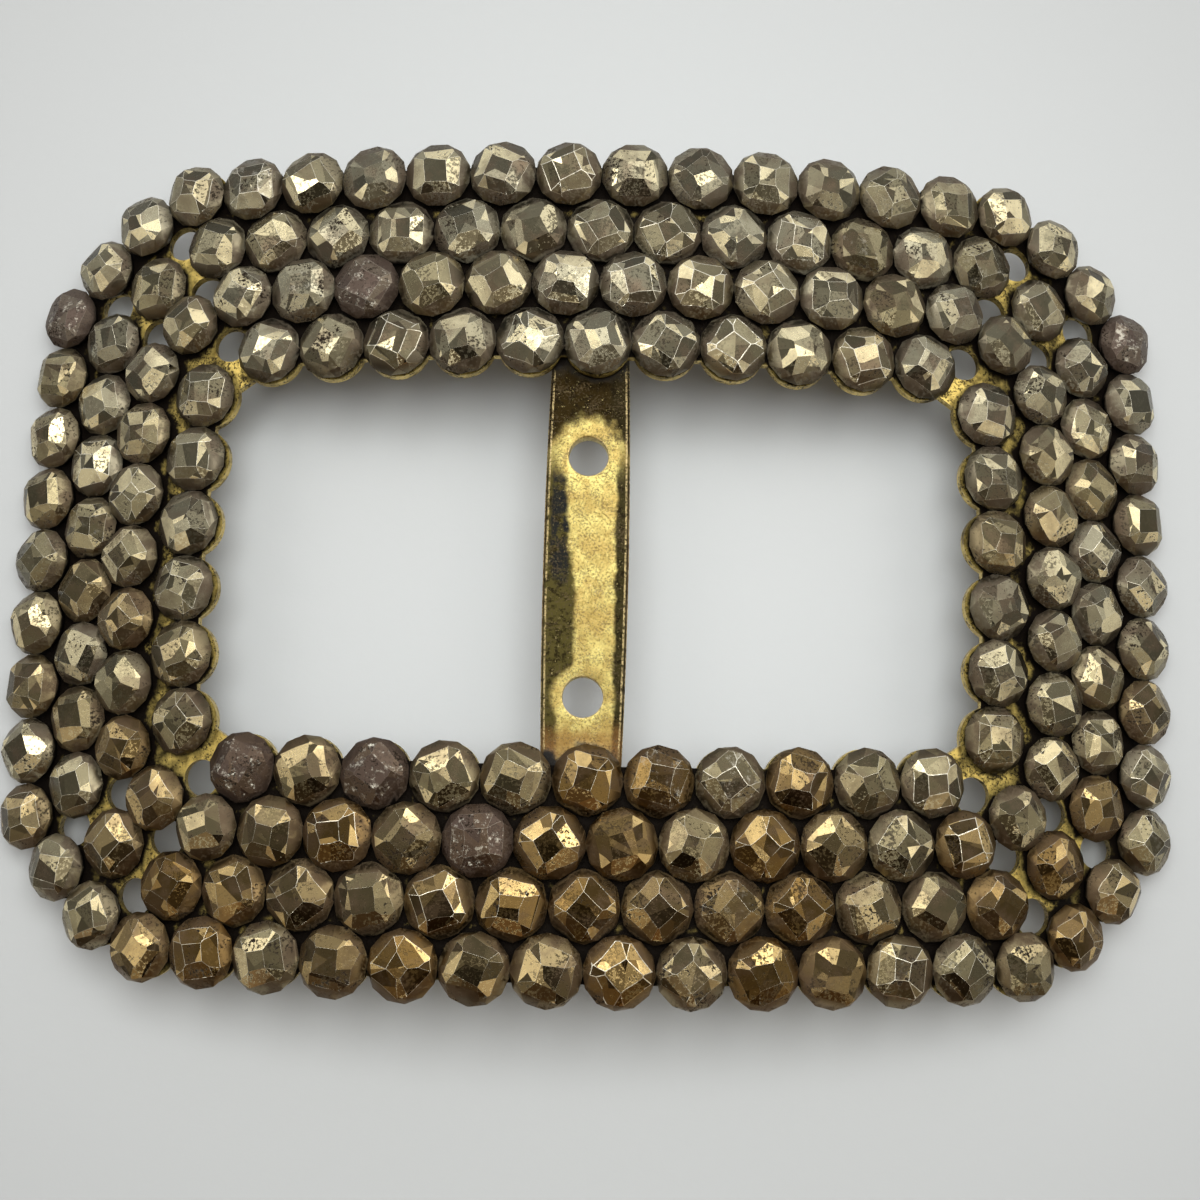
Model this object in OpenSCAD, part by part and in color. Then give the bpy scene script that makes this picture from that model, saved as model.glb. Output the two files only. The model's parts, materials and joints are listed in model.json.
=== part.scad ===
// Slider buckle for a sash or belt: four rings of cut steel stud heads on a bent brass plate,
// with a flat brass bar across the short way of the window.
// X runs along the belt, Y along the bar and Z out of the front. The buckle lies on its back,
// and the origin is on that surface, under the middle of the plate.

/* [Plate] */
// Radius that the front face of the plate is bent to, round an axis along the bar
bend_r = 92.2; // [70:0.1:140]
// Thickness of the brass sheet
plate_t = 0.6; // [0.5:0.05:0.8]
// Radius of the lobe of plate under each stud head along the outer edge
lobe_r = 1.9; // [1.6:0.05:1.95]
// Radius of the lobe that shows under each stud head along the window
lip_r = 2; // [1.6:0.05:2.05]
// How far the web between two lobes reaches past the line of their centres
web_reach = 0.8; // [0.2:0.05:1]
// Diameter of the round holes pierced between the heads at the corners
corner_hole_d = 2.2; // [1.2:0.1:2.4]

/* [Crossbar] */
// Width of the bar at its middle
bar_w = 5.12; // [4:0.02:6]
// How much narrower each edge of the bar is where the window ends
bar_belly = 0.16; // [0.05:0.01:0.3]
// Thickness of the bar
bar_t = 1; // [0.8:0.1:1.4]
// Length of the bar, with the ends that lie behind the plate
bar_length = 38; // [32:0.5:42]
// Bevel along the four long edges of the bar
bar_bevel = 0.2; // [0.1:0.05:0.3]
// How far the bar sits left of the middle
bar_offset = 0.4; // [0:0.1:1]
// Clearance between the bar and the back of the plate
bar_gap = 0.1; // [0.08:0.01:0.2]
// Diameter of the two holes in the bar
bar_hole_d = 2.4; // [1.6:0.1:3]
// Distance between the centres of the two holes
bar_hole_pitch = 14.5; // [10:0.1:16]
// How far the pair of holes sits below the middle
bar_hole_drop = 1; // [0:0.1:2]

/* [Studs] */
// Diameter of the largest stud heads across the corners of their widest rim
stud_d = 4.05; // [3.2:0.01:4.2]
// Least clearance between two heads, which makes a head in a narrow place smaller
head_gap = 0.12; // [0.11:0.01:0.3]
// Share by which the smallest heads are narrower than their place allows
size_spread = 0.02; // [0:0.01:0.1]
// Diameter of the flat face that the largest heads sit down on
seat_d = 3.2; // [2.6:0.05:3.6]
// Height of the widest rims above the plate, on average
rim_h = 0.65; // [0.4:0.05:1]
// How much higher the rims of every second ring lie, which lets its heads fit between their neighbours
rim_step = 0.3; // [0:0.02:0.3]
// Diameter of the largest heads' ring of corners between the upper and the lower facets
shoulder_d = 3.2; // [2.8:0.02:3.4]
// Height of those corners above the widest rim
shoulder_rise = 0.45; // [0.35:0.05:1.2]
// Diagonal of the largest square tables on top
table_d = 2.1; // [1.4:0.02:2.2]
// Share by which the smallest tables are narrower than the largest
table_spread = 0.35; // [0:0.01:0.4]
// Height of the table above the widest rim
table_rise = 0.85; // [0.7:0.05:1.7]
// Clearance between a head and the plate
seat_gap = 0.06; // [0.05:0.01:0.1]
// Most that a hand-ground table lies off the middle of its head
table_wander = 0.22; // [0:0.02:0.3]
// Most that a head is ground lower than the tallest
height_spread = 0.12; // [0:0.01:0.2]

/* [Rings] */
// How much the ends of a long row of studs fall back from its middle
row_bow = 0.3; // [0:0.05:0.4]
// How much the ends of a short column fall back from its middle
column_bow = 0.57; // [0.4:0.01:0.57]

/* [Hidden] */
$fn = 96;

// The rings of studs, from the window outwards. Sizes run along the bent surface through the
// widest rims, from the middle of the buckle.
// Columns: studs in a row, half length of the row, distance of the row,
// studs in a column, half length of the column, distance of the column
RINGS = [
    [11, 20.50, 13.06, 6, 10.10, 25.29],
    [12, 22.40, 16.58, 7, 11.73, 29.05],
    [13, 24.59, 20.06, 8, 14.05, 32.50],
    [14, 26.21, 23.58, 9, 16.05, 35.95],
];
// The studs that turn each ring's corner, from the row to the column: along the belt, along the bar
CORNERS = [
    [],
    [[25.97, 14.69]],
    [[28.75, 17.45]],
    [[29.80, 21.66], [32.68, 19.00]],
];

rim_r = bend_r + rim_h;
back_r = bend_r - plate_t;
stud_corners = 12;

// A long row above the window, from left to right
function row(k) =
    let (r = RINGS[k])
    [for (i = [0:r[0] - 1])
        let (t = 2 * i / (r[0] - 1) - 1)
        [r[1] * t, r[2] - row_bow * t * t]];

// The short column right of the window, from top to bottom
function column(k) =
    let (r = RINGS[k])
    [for (i = [0:r[3] - 1])
        let (t = 1 - 2 * i / (r[3] - 1))
        [r[5] - column_bow * t * t, r[4] * t]];

// Points turned half a turn, taken the other way round, and mirrored top to bottom
function turned(points) = [for (p = points) -p];
function backwards(points) = [for (i = [len(points) - 1:-1:0]) points[i]];
function mirrored(points) = [for (p = backwards(points)) [p.x, -p.y]];

// All studs of ring k, clockwise from the top left
function half_ring(k) = concat(row(k), CORNERS[k], column(k), mirrored(CORNERS[k]));
function ring(k) = concat(half_ring(k), turned(half_ring(k)));

// The bend: how far a place along the surface is turned, and where it lies in plan
function turn_at(s) = s / rim_r * 180 / PI;
function plan(p) = [bend_r * sin(turn_at(p.x)), p.y];

// A closed line of points moved out by d, or in where d is below zero
function moved_out(points, d) =
    let (n = len(points))
    [for (i = [0:n - 1])
        let (along = points[(i + 1) % n] - points[(i + n - 1) % n])
        points[i] + d * [-along.y, along.x] / norm(along)];

function middle(points) = [for (axis = [0:1]) sum([for (p = points) p[axis]]) / len(points)];
function sum(values, i = 0) = i == len(values) ? 0 : values[i] + sum(values, i + 1);
function last(points) = points[len(points) - 1];

// The holes of the top right corner: each lies in the middle of four heads
function corner_holes() =
    [middle([last(row(0)), column(0)[0], last(row(1)), CORNERS[1][0]]),
     middle([last(row(1)), CORNERS[1][0], last(row(2)), CORNERS[2][0]]),
     middle([CORNERS[1][0], column(1)[0], CORNERS[2][0], column(2)[0]]),
     middle([last(row(2)), CORNERS[2][0], last(row(3)), CORNERS[3][0]]),
     middle([CORNERS[2][0], column(2)[0], CORNERS[3][1], column(3)[0]])];

// The plate stands on the lowest points of its side lobes
low_x = plan([RINGS[3][5], 0]).x + lobe_r;
axis_z = -sqrt(back_r * back_r - low_x * low_x);
bar_top = axis_z + back_r - bar_gap;

// Half the width of the bar at y along it, and how many steps its curved edges are drawn in
window_half = RINGS[0][2] - lip_r;
bar_steps = 12;
function bar_half(y) = bar_w / 2 - bar_belly * pow(y / window_half, 2);

// A fixed choice between 0 and 1 for stud number i
function chance(i, salt) =
    let (wave = sin(127.1 * i + 311.7 * salt) * 43758.5453)
    wave - floor(wave);

// The place of every stud, and the height of its head's widest rim above the plate
PLACES = [for (k = [0:3]) each ring(k)];
RIM_HEIGHTS = [for (k = [0:3], p = ring(k)) rim_h + (k % 2 - 0.5) * rim_step];
inner_count = len(ring(0)) + len(ring(1));

// Where the middle of every head lies in space, at the average height of the rims
HEAD_CENTRES = [for (p = PLACES) seated([0, 0, rim_h], p)];

// Two rims at different heights can come this much closer, because each head narrows below its rim
interlock = rim_step * (stud_d - seat_d) / 2 / (rim_h + rim_step / 2 - seat_gap);
function closer(i, j) = RIM_HEIGHTS[i] == RIM_HEIGHTS[j] ? 0 : interlock;

// How wide a head could be if it and its nearest neighbour just touched
function room(i) =
    min([for (j = [0:len(PLACES) - 1])
        if (j != i) norm(HEAD_CENTRES[i] - HEAD_CENTRES[j]) + closer(i, j)]);

// The width of stud number i as a share of the largest
function width_share(i) =
    min(1, (room(i) - head_gap) / stud_d) * (1 - size_spread * chance(i, 5));

// Corners of one level of a head: how many, on what circle, from what angle, how high
function level(count, d, start, h) =
    [for (i = [0:count - 1])
        let (a = start + 360 * i / count)
        [d / 2 * cos(a), d / 2 * sin(a), h]];

// The 36 corners of stud number i with its seat down: 4 of the table, 8 of the shoulder,
// 12 of the widest rim and 12 of the seat
function head_corners(i) =
    let (w = width_share(i), table = table_d * (1 - table_spread * chance(i, 6)))
    concat(level(4, w * table, 45, RIM_HEIGHTS[i] + table_rise),
           level(8, w * shoulder_d, 22.5, RIM_HEIGHTS[i] + shoulder_rise),
           level(stud_corners, w * stud_d, 15, RIM_HEIGHTS[i]),
           level(stud_corners, w * seat_d, 15, seat_gap));

// The faces of a head, numbered from its first corner
TABLE = 0;
SHOULDER = 4;
RIM = 12;
SEAT = 24;
HEAD_CORNERS = 36;
function crown_faces() =
    [for (q = [0:3])
        let (t0 = TABLE + q, t1 = TABLE + (q + 1) % 4,
             s0 = SHOULDER + 2 * q, s1 = s0 + 1, s2 = SHOULDER + (2 * q + 2) % 8,
             r0 = RIM + 3 * q, r1 = r0 + 1, r2 = r0 + 2, r3 = RIM + (3 * q + 3) % stud_corners)
        each [[t0, s1, s0], [t0, t1, s2, s1], [s0, s1, r1], [s0, r1, r0], [s1, r2, r1],
              [s1, s2, r3, r2]]];
function side_faces() =
    [for (i = [0:stud_corners - 1])
        let (j = (i + 1) % stud_corners)
        [RIM + i, RIM + j, SEAT + j, SEAT + i]];
function head_faces() =
    concat([[3, 2, 1, 0]], crown_faces(), side_faces(),
           [[for (i = [0:stud_corners - 1]) SEAT + i]]);

// A corner of stud number i as it was ground: the part above the rim leans and is lower
function ground(c, i) =
    c.z <= RIM_HEIGHTS[i] ? c :
    let (rim = RIM_HEIGHTS[i],
         up = (c.z - rim) / table_rise,
         lean = table_wander * chance(i, 2),
         way = 360 * chance(i, 3),
         h = rim + (c.z - rim) * (1 - height_spread * chance(i, 4)))
    [c.x + lean * up * cos(way), c.y + lean * up * sin(way), h];

// That corner spun about the shank, and set on the bent plate at place p
function spun(c, a) = [c.x * cos(a) - c.y * sin(a), c.x * sin(a) + c.y * cos(a), c.z];
function seated(c, p) =
    let (a = turn_at(p.x), r = bend_r + c.z)
    [r * sin(a) + c.x * cos(a), p.y + c.y, axis_z + r * cos(a) - c.x * sin(a)];

// A field of studs: those numbered from first to last
module stud_field(first, last) {
    corners = [for (i = [first:last])
        each [for (c = head_corners(i))
            seated(spun(ground(c, i), 360 * chance(i, 1)), PLACES[i])]];
    faces = [for (n = [0:last - first])
        each [for (f = head_faces()) [for (v = f) v + n * HEAD_CORNERS]]];
    polyhedron(points = corners, faces = faces, convexity = 10);
}

// The stamped outline in plan, with its window, its scalloped edges and its corner holes
module plate_outline() {
    outside = [for (p = ring(3)) plan(p)];
    window = [for (p = ring(0)) plan(p)];
    difference() {
        union() {
            polygon(backwards(moved_out(outside, web_reach)));
            for (p = outside) translate(p) circle(r = lobe_r);
        }
        difference() {
            polygon(backwards(moved_out(window, -web_reach)));
            for (p = window) translate(p) circle(r = lip_r);
        }
        for (p = corner_holes(), x = [-1, 1], y = [-1, 1])
            translate([x * plan(p).x, y * p.y]) circle(d = corner_hole_d);
    }
}

// A cylinder along the bar's direction, round the axis of the bend, longer than the plate is wide
roll_length = 80;
module bend_cylinder(r) {
    translate([0, 0, axis_z]) rotate([90, 0, 0]) cylinder(r = r, h = roll_length, center = true);
}

// How high the outline is drawn up to cut the sheet, and how far a cut runs past each face
stamp_height = 20;
cut_past = 1;

module back_plate() {
    color("darkgoldenrod")
    intersection() {
        difference() {
            bend_cylinder(bend_r);
            bend_cylinder(back_r);
        }
        translate([0, 0, -cut_past]) linear_extrude(height = stamp_height) plate_outline();
    }
}

// The outline of the bar in plan, drawn in all round by inset
module bar_outline(inset) {
    edge = [for (i = [0:bar_steps])
        let (y = (bar_length / 2 - inset) * (2 * i / bar_steps - 1))
        [bar_half(y) - inset, y]];
    polygon(concat(edge, [for (p = backwards(edge)) [-p.x, p.y]]));
}

module crossbar() {
    color("goldenrod")
    translate([-bar_offset, 0, bar_top - bar_t])
    difference() {
        hull() {
            linear_extrude(height = bar_t) bar_outline(bar_bevel);
            translate([0, 0, bar_bevel])
            linear_extrude(height = bar_t - 2 * bar_bevel)
            bar_outline(0);
        }
        for (side = [-1, 1])
            translate([0, side * bar_hole_pitch / 2 - bar_hole_drop, -cut_past])
            cylinder(d = bar_hole_d, h = bar_t + 2 * cut_past);
    }
}

module inner_studs() {
    color("dimgray") stud_field(0, inner_count - 1);
}

module outer_studs() {
    color("gray") stud_field(inner_count, len(PLACES) - 1);
}

back_plate();
crossbar();
inner_studs();
outer_studs();
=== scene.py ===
# %% [markdown]
# # An old belt slider covered with cut steel
#
# The photograph shows a slider buckle for a belt or sash. A thin gilt brass plate, bent to the
# curve of the waist, carries four rings of small steel heads. Each head was ground by hand into
# flat facets and riveted to the plate through a hole. A flat brass bar crosses the window.
#
# The construction holds these pieces at their real sizes, and this script dresses them. It takes
# each of its heads as a blank and grinds it again. The rings and the bend stay where they are.

import json
import math

import bmesh
import bpy
import numpy as np
from mathutils import Matrix, Vector
from mathutils.bvhtree import BVHTree


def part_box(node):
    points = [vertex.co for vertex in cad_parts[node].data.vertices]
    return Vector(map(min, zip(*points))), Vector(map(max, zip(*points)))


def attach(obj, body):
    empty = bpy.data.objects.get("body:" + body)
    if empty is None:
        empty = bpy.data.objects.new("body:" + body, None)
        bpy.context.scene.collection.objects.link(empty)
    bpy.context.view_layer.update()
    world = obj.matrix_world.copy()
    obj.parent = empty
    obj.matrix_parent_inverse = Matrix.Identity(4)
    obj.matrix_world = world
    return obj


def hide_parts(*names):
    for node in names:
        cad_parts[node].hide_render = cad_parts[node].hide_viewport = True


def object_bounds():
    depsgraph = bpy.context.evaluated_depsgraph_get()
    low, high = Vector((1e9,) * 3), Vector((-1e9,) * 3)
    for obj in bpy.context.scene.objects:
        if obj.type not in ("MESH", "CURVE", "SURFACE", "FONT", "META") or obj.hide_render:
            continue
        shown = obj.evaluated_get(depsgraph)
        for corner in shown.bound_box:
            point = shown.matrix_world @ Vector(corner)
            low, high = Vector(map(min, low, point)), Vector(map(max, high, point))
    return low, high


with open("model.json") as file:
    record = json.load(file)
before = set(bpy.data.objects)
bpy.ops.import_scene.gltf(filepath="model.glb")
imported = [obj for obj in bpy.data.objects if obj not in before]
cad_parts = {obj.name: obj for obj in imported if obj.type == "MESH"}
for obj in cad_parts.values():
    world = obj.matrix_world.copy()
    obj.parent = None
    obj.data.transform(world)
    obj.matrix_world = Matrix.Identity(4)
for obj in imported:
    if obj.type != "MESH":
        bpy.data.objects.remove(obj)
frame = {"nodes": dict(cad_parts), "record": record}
cad_low, cad_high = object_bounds()
MM = 0.001
print("the buckle measures", [round(side / MM, 1) for side in cad_high - cad_low], "mm")

# %% [markdown]
# ## The bent surface
#
# The plate is part of a wide cylinder whose axis lies below the buckle, along the bar. Every
# head stands square to that cylinder. The easiest way to work on a head is to undo the bend:
# its own frame has its origin on the plate, X along the belt, Y along the bar, Z outwards.

# %% Frames on the bent plate
BEND_R = 92.2 * MM
SHEET = 0.6 * MM
bend_axis_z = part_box("back_plate")[1].z - BEND_R


def frame_on_plate(point):
    """The matrix that takes a head's own frame, in millimetres, to its place over or under point."""
    turn = math.atan2(point.x, point.z - bend_axis_z)
    place = Vector((BEND_R * math.sin(turn), point.y, bend_axis_z + BEND_R * math.cos(turn)))
    return Matrix.Translation(place) @ Matrix.Rotation(turn, 4, "Y") @ Matrix.Scale(MM, 4)


print("the bend's axis lies", round(-bend_axis_z / MM, 1), "mm below the table")

# %% [markdown]
# ## The blanks
#
# A node of the construction holds many loose heads in one mesh. A head is found by walking from
# corner to corner along its edges until no new corner turns up.

# %% Take the heads apart
SEAT_CORNERS = 12
SAME_CORNER = 0.001 * MM


def corners_joined_to(first, seen):
    """All corners that edges join to the first one, in their stored order."""
    waiting, members = [first], []
    seen.add(first.index)
    while waiting:
        corner = waiting.pop()
        members.append(corner)
        for edge in corner.link_edges:
            other = edge.other_vert(corner)
            if other.index not in seen:
                seen.add(other.index)
                waiting.append(other)
    return sorted(members, key=lambda corner: corner.index)


def blanks_of(node):
    """The heads of a node: for each its frame on the plate, its corners in that frame, its faces."""
    bm = bmesh.new()
    bm.from_mesh(frame["nodes"][node].data)
    bmesh.ops.remove_doubles(bm, verts=bm.verts, dist=SAME_CORNER)
    bm.verts.index_update()
    found, seen = [], set()
    for corner in bm.verts:
        if corner.index in seen:
            continue
        members = corners_joined_to(corner, seen)
        low = sorted(members, key=lambda c: math.hypot(c.co.x, c.co.z - bend_axis_z))[:SEAT_CORNERS]
        seat = sum((c.co for c in low), Vector()) / len(low)
        place = frame_on_plate(seat)
        back = place.inverted()
        number = {c.index: n for n, c in enumerate(members)}
        faces = {f.index: f for c in members for f in c.link_faces}
        found.append((
            place,
            [back @ c.co for c in members],
            [[number[c.index] for c in faces[k].verts] for k in sorted(faces)],
        ))
    bm.free()
    return found


blanks = {node: blanks_of(node) for node in ("inner_studs", "outer_studs")}
print({node: len(heads) for node, heads in blanks.items()}, "heads")

# %% [markdown]
# ## The shoulder of a head
#
# A real head has a square table, four broad facets beside it and four small ones at its corners.
# The blank spaces the eight corners of its shoulder evenly, which would make all eight facets
# alike. So they first move in pairs towards the table's corners. Height tells the corners of a
# blank apart: seat, widest rim, shoulder, table.

# %% Set the shoulder's corners in pairs
RIM_CORNERS, SHOULDER_CORNERS = 12, 8
PAIR_HALF_ANGLE = math.radians(12)
SHOULDER_REACH = 1.06


def middle_of(corners):
    return sum(corners, Vector()) / len(corners)


def turn_from(way, angle):
    """How far an angle lies from a way, between minus and plus half a turn."""
    return (angle - way + math.pi) % math.tau - math.pi


def angle_of(arm):
    return math.atan2(arm.y, arm.x)


def squared_up(corners):
    """A blank's corners with the shoulder's in pairs near the table's, and the shoulder's height."""
    first = SEAT_CORNERS + RIM_CORNERS
    last = first + SHOULDER_CORNERS
    by_height = sorted(range(len(corners)), key=lambda n: corners[n].z)
    shoulder, table = by_height[first:last], by_height[last:]
    height = corners[shoulder[0]].z
    middle = middle_of([corners[n] for n in shoulder])
    top = middle_of([corners[n] for n in table])
    ways = [math.atan2(corners[n].y - top.y, corners[n].x - top.x) for n in table]
    moved = [corner.copy() for corner in corners]
    for n in shoulder:
        arm = corners[n] - middle
        angle = angle_of(arm)
        way = min(ways, key=lambda w: abs(turn_from(w, angle)))
        angle = way + math.copysign(PAIR_HALF_ANGLE, turn_from(way, angle))
        reach = math.hypot(arm.x, arm.y) * SHOULDER_REACH
        moved[n] = Vector((
            middle.x + reach * math.cos(angle), middle.y + reach * math.sin(angle), height))
    return moved, height


first_blank = blanks["inner_studs"][0]
print("a shoulder lies", round(squared_up(first_blank[1])[1], 2), "mm above the plate")

# %% [markdown]
# ## The wheel
#
# No two heads of the real buckle are alike: the grinder held each one to the wheel by hand, so
# every facet leans a little its own way. Most heads end in a square table, on some a side facet
# has grown until it lies beside the table like a twin, and a few run up to a point.
#
# Moving more corners would bend the facets. Cutting with planes keeps them flat, as the wheel
# did. The planes of the low facets hardly differ from the blank's, so that the head keeps its
# width. Those of the crown, whose middles lie above the shoulder, turn round a line near it.

# %% Set the planes of the wheel
HABITS = ("square table", "twin tables", "point")
HABIT_SHARES = (0.68, 0.20, 0.12)
TABLE_TILT, BELT_TILT = 0.97, 0.2
STRAY = {"table": 0.035, "crown": 0.024, "belt": 0.018}
PLAIN_LIFT, GROWN_LIFT = (0, 0.05), (0.22, 0.36)
TURNS_BELOW_MIDDLE = 0.3
BELT_DEPTH = 0.025


def in_crown(face, level):
    """True for a head's table and the facets round it."""
    return face.calc_center_median().z > level


def strayed(normal, far, chance):
    """A normal that missed its mark by chance."""
    return (normal + Vector(chance.normal(0, far, 3))).normalized()


def crown_plane(centre, normal, lift, chance):
    """A plane for an upper facet: turned towards level by lift, about a line near the shoulder."""
    out = Vector((normal.x, normal.y, 0)).normalized()
    downhill = (out - normal * out.dot(normal)).normalized()
    lifted = normal + Vector((0, 0, lift))
    return centre + downhill * TURNS_BELOW_MIDDLE, strayed(lifted, STRAY["crown"], chance)


def wheel_planes(bm, level, chance):
    """A point and a normal for each facet above the widest rim, in the order round the head."""
    habit = chance.choice(HABITS, p=HABIT_SHARES)
    planes, broad = [], 0
    for face in sorted(bm.faces, key=lambda f: angle_of(f.normal)):
        centre, normal = face.calc_center_median(), face.normal.copy()
        if normal.z > TABLE_TILT:
            planes.append((centre, strayed(normal, STRAY["table"], chance)))
        elif in_crown(face, level):
            lift = chance.uniform(*PLAIN_LIFT)
            if len(face.verts) > 3:
                broad += 1
                if habit == "point" or (habit == "twin tables" and broad == 1):
                    lift = chance.uniform(*GROWN_LIFT)
            planes.append(crown_plane(centre, normal, lift, chance))
        elif normal.z > BELT_TILT:
            depth = chance.uniform(0, BELT_DEPTH)
            planes.append((centre - normal * depth, strayed(normal, STRAY["belt"], chance)))
    return planes


# %% [markdown]
# ## Grinding a head
#
# Each plane cuts off what lies outside it, and the hole is closed with one flat face. Corners
# that come out nearer to each other than a sliver are joined. Seldom a cut leaves the head
# inside out; then its volume comes out negative and all its faces are turned.
#
# The construction keeps its heads a little apart. Real heads were set until they touched, so
# each blank is first widened about its own middle.

# %% Grind one blank
WIDEN = 1.08
SLIVER = 0.04
SAME_FACET = math.radians(1)
ON_THE_PLANE = 1e-4
ROOM_UNDER_LEVEL = 0.02


def widened_blank(corners, faces):
    """A blank as a bmesh, with flat facets in one piece."""
    bm = bmesh.new()
    made = [bm.verts.new((c.x * WIDEN, c.y * WIDEN, c.z)) for c in corners]
    for face in faces:
        bm.faces.new([made[n] for n in face])
    bmesh.ops.dissolve_limit(bm, angle_limit=SAME_FACET, verts=bm.verts[:], edges=bm.edges[:])
    bm.normal_update()
    return bm


def cut_off(bm, point, normal):
    """Takes away what lies outside a plane and closes the hole."""
    cut = bmesh.ops.bisect_plane(
        bm, geom=bm.verts[:] + bm.edges[:] + bm.faces[:], dist=ON_THE_PLANE,
        plane_co=point, plane_no=normal, clear_outer=True)
    rim = [e for e in cut["geom_cut"] if isinstance(e, bmesh.types.BMEdge)]
    if len(rim) > 2:
        bmesh.ops.contextual_create(bm, geom=rim)


def grind(corners, faces, chance):
    """A head ground from its blank, and the height that every facet of its crown lies above."""
    corners, level = squared_up(corners)
    bm = widened_blank(corners, faces)
    for point, normal in wheel_planes(bm, level, chance):
        cut_off(bm, point, normal)
    bmesh.ops.remove_doubles(bm, verts=bm.verts[:], dist=SLIVER)
    bmesh.ops.dissolve_degenerate(bm, edges=bm.edges[:], dist=SLIVER)
    bmesh.ops.recalc_face_normals(bm, faces=bm.faces[:])
    if bm.calc_volume(signed=True) < 0:
        bmesh.ops.reverse_faces(bm, faces=bm.faces[:])
    return bm, level - ROOM_UNDER_LEVEL


sample, sample_level = grind(*first_blank[1:], np.random.default_rng(0))
print("a ground head has", len(sample.faces), "facets")

# %% [markdown]
# ## Rubbed edges
#
# A century of wear has rounded the ridges between the facets, and they shine as thin pale
# lines. The bevel tool makes a narrow face along each ridge. Those faces get a value in a face
# attribute named edge, and a material can read it by that name.

# %% Bevel a mesh and remember its edges
ROUNDNESS = 0.6


def bevel_ridges(bm, ridges, width, steps, mark, wear_of):
    """Bevels edges, and marks the new faces with what wear_of says of each."""
    cut = bmesh.ops.bevel(
        bm, geom=ridges, offset=width, offset_type="OFFSET", segments=steps, profile=ROUNDNESS,
        affect="EDGES", clamp_overlap=True)
    for face in cut["faces"]:
        face[mark] = wear_of(face)


def rub_edges(bm, width, sharper_than):
    """Bevels the edges that are sharper than an angle, and marks them as fully worn."""
    mark = bm.faces.layers.float.new("edge")
    ridges = [e for e in bm.edges
              if len(e.link_faces) == 2 and e.calc_face_angle(0) > math.radians(sharper_than)]
    bevel_ridges(bm, ridges, width, 2, mark, lambda face: 1.0)


# %% [markdown]
# ## Two kinds of rubbing
#
# Round its sides a head was never sharp, so the ridges there get a wide bevel and no shine.
# The ridges of the crown stay narrow. They are bright round the table, where cloth passed over
# them, and fade towards the shoulder. The tilt of a bevelled face tells how bright it is.

# %% Rub one head
SIDE_BEVEL = 0.19
FLAT_RIDGE = math.radians(7)
DULL_TILT, FADE = 0.76, 0.11
RIDGE, RIDGE_OF_AGE = 0.048, 0.045


def crown_wear(face):
    """How bright a rubbed ridge is: most round the table, least along the shoulder."""
    return min(1.0, max(0.0, (face.normal.z - DULL_TILT) / FADE))


def rub_head(bm, width, level):
    """Softens a head's sides, then rubs the ridges of its crown."""
    mark = bm.faces.layers.float.new("edge")
    bm.normal_update()
    sides = [e for e in bm.edges if not any(in_crown(f, level) for f in e.link_faces)]
    bevel_ridges(bm, sides, SIDE_BEVEL, 1, mark, lambda face: 0.0)
    bm.normal_update()
    crown = [e for e in bm.edges if any(in_crown(f, level) for f in e.link_faces)
             and e.calc_face_angle(0) > FLAT_RIDGE]
    bevel_ridges(bm, crown, width, 1, mark, crown_wear)
    bm.normal_update()


rub_head(sample, RIDGE, sample_level)
print("rubbed, it has", len(sample.faces), "faces")
sample.free()

# %% [markdown]
# ## Dull, rusty heads
#
# Six heads of the real buckle have lost their polish: they are purple-brown and rounded. Their
# places are given in millimetres from the middle, along the belt and along the bar, and the
# nearest head of the construction takes the part.

# %% Find the rusty heads
RUSTY_PLACES = [(-33.6, 14.2), (34.2, 14.9), (-12.2, 16.0), (-13.6, -12.6), (-18.2, -12.4), (-7.6, -16.6)]


def nearest_head(place):
    """Node and number of the head whose middle is nearest to a place in millimetres."""
    every = [(node, n) for node in blanks for n in range(len(blanks[node]))]
    spot = Vector(place) * MM
    return min(every, key=lambda e: (blanks[e[0]][e[1]][0].translation.xy - spot).length)


rusty = {nearest_head(place) for place in RUSTY_PLACES}
print("rusty heads:", sorted(rusty))

# %% [markdown]
# ## The two nodes of heads
#
# All heads of a node become one mesh. Five face attributes carry what the material needs:
# edge, crown (1 on the facets round the table, which polishing reached, and 0 below them),
# facet (a chance value for each facet), hue (olive to bronze to brown) and age (how dull and
# rusty the head is). Towards the middle of the nearest rows the hue drifts browner and darker:
# a painted reflection of the dark, brown near side. Tables draw lower facet values and come out
# darker: painted reflection of the dark camera overhead.

# %% Build a mesh with values
HEAD_VALUES = ("edge", "crown", "facet", "hue_and_shade", "age")


def link_piece(name, mesh):
    """An object for a mesh, placed in the scene."""
    piece = bpy.data.objects.new(name, mesh)
    bpy.context.scene.collection.objects.link(piece)
    print("faces of", name + ":", len(mesh.polygons))
    return piece


def mesh_with_values(name, corners, faces, values):
    """A piece from corners and faces, with one number a face for each named value."""
    mesh = bpy.data.meshes.new(name)
    mesh.from_pydata(corners, [], faces)
    for key, numbers in values.items():
        mesh.attributes.new(key, "FLOAT", "FACE").data.foreach_set("value", numbers)
    mesh.polygons.foreach_set("use_smooth", [crown < 0.5 for crown in values["crown"]])
    mesh.validate()
    return link_piece(name, mesh)


# %% Build the heads
RUSTY_AGE, OLDEST = 0.95, 0.8
YOUNG_OR_OLD = (1.3, 3.2)
HUE_BY_CHANCE, NEAR_SHADE_IN_HUE = 0.45, 0.62
LEVEL_TILT, PAINTED_TABLE_SHADE = 0.96, 2.6


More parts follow.
